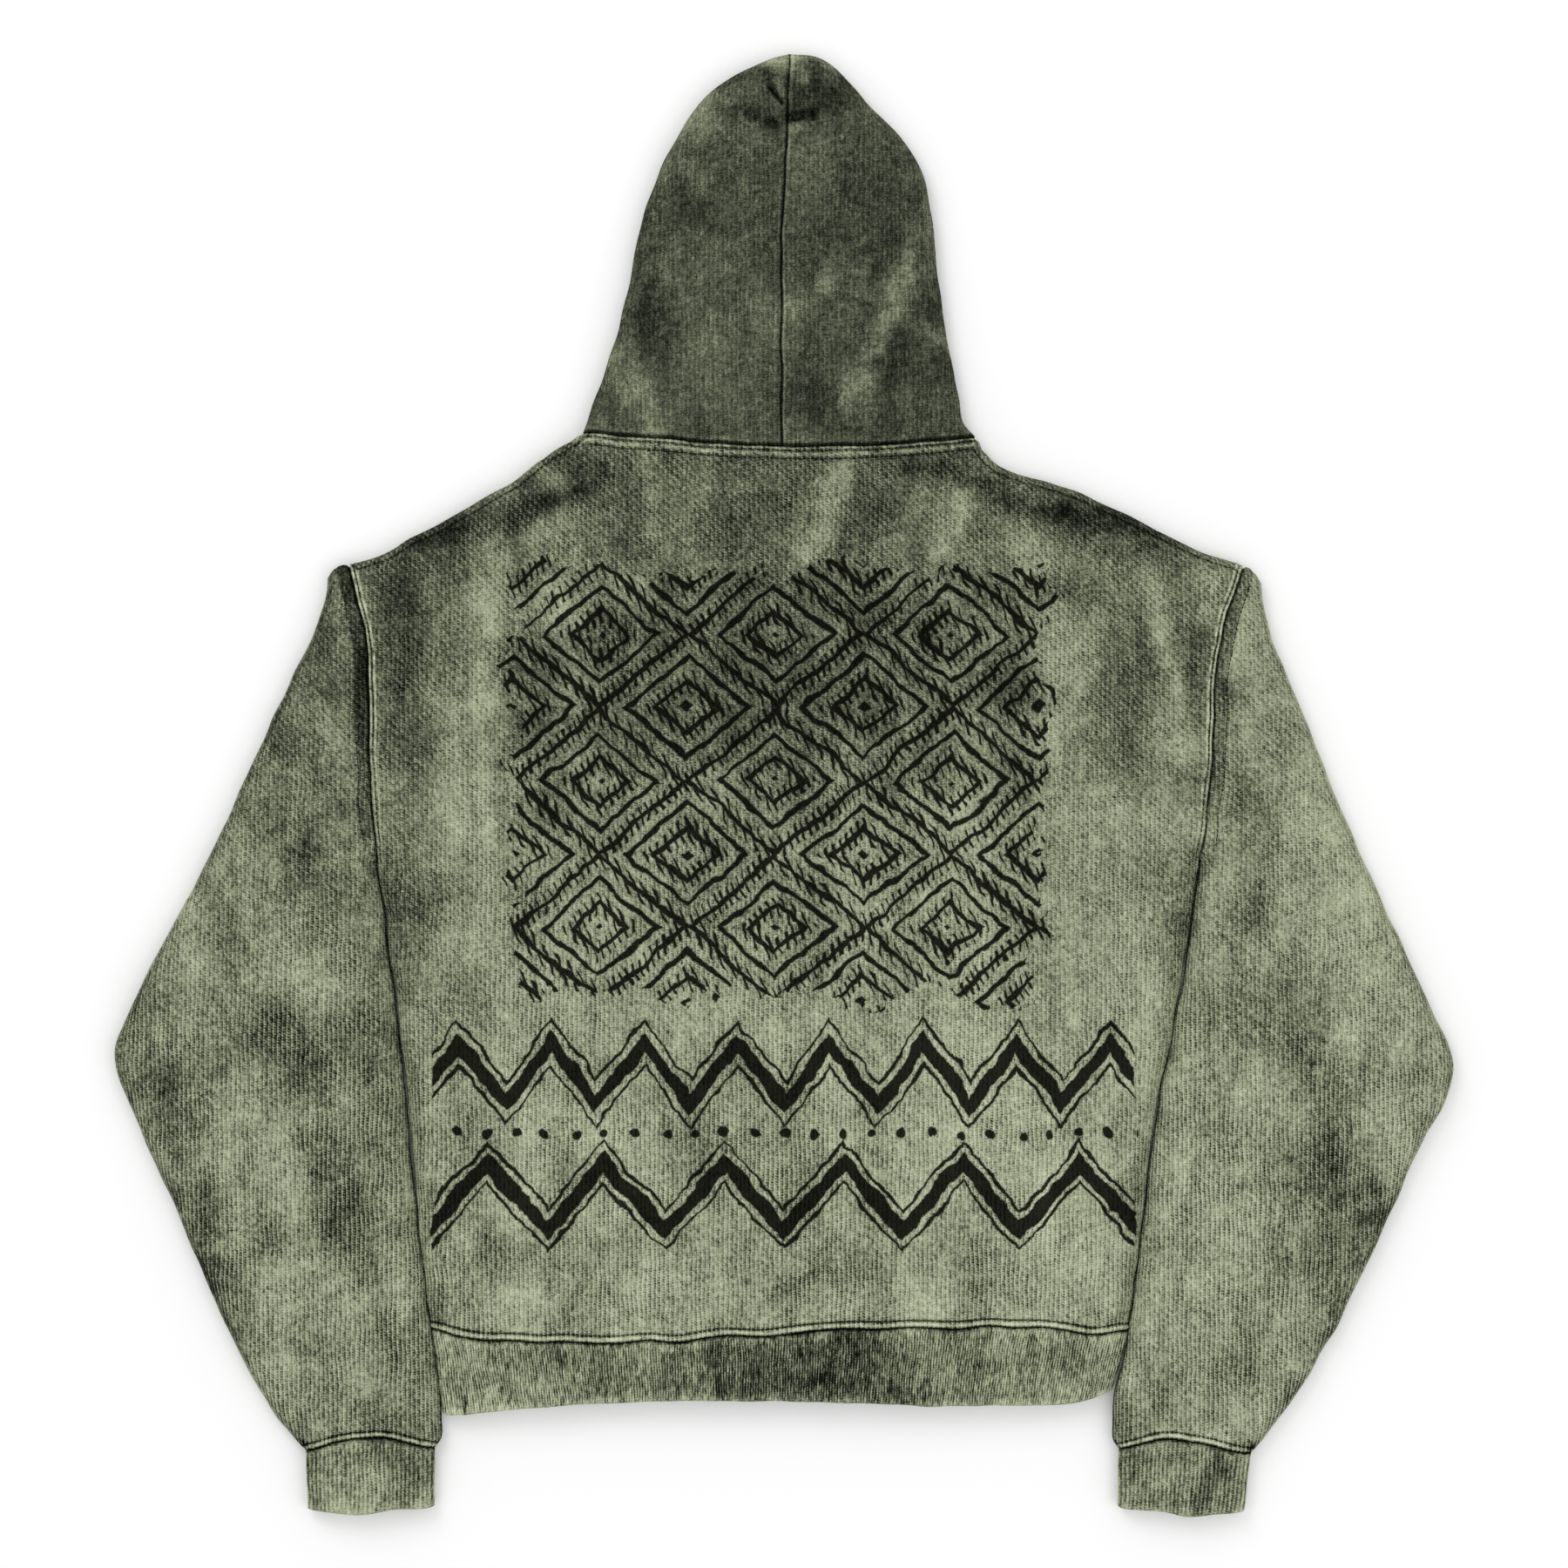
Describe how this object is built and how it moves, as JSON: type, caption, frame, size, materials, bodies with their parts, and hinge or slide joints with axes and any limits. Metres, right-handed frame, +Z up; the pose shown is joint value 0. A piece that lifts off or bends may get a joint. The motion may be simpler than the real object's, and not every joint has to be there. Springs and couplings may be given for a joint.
{
  "type": "pullover hooded sweatshirt laid flat",
  "caption": "Heavy washed-fleece pullover hoodie lying flat, back side up, with a drawn-up hood, wide sleeves, ribbed cuffs and hem and a front pouch pocket.",
  "frame": {"origin": "centre of the garment's outline, on the surface it lies on", "axes": "+X to the right across the back as seen from above, +Y from the hem towards the hood, +Z up through the back, away from the surface it lies on"},
  "size_m": [0.9549, 1.042, 0.036],
  "materials": {
    "washed_fleece": "matt looped fleece, unevenly faded olive",
    "washed_rib": "matt ribbed knit, unevenly faded olive"
  },
  "bodies": {
    "root": {"back_panel": "washed_fleece", "front_panel": "washed_fleece", "pouch_pocket": "washed_fleece", "hood_left": "washed_fleece", "hood_right": "washed_fleece", "sleeve_left": "washed_fleece", "sleeve_right": "washed_fleece", "cuff_left": "washed_rib", "cuff_right": "washed_rib", "hem_band": "washed_rib"}
  },
  "joints": []
}
